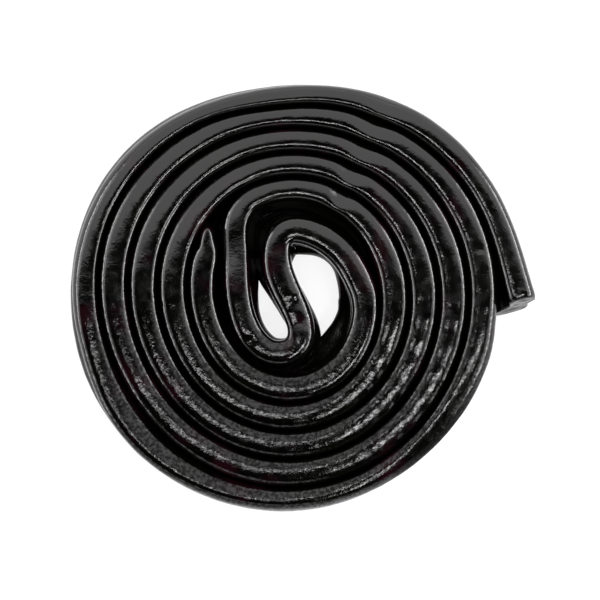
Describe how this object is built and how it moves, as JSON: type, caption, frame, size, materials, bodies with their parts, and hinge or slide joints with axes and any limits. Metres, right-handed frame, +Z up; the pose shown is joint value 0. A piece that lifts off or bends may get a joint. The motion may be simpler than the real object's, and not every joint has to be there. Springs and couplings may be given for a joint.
{
  "type": "black licorice wheel",
  "caption": "Flat wound wheel of glossy black licorice, a double string folded into an S in the middle and coiled round it, with a loose cut end.",
  "frame": {"origin": "middle of the bounding box, on the surface that the wheel lies on", "axes": "+Z up through the thickness of the wheel, +X towards the loose outer end"},
  "size_m": [0.0544, 0.05, 0.006],
  "materials": {
    "licorice": "glossy, slightly tacky black"
  },
  "bodies": {
    "root": {"licorice_wheel": "licorice"}
  },
  "joints": []
}
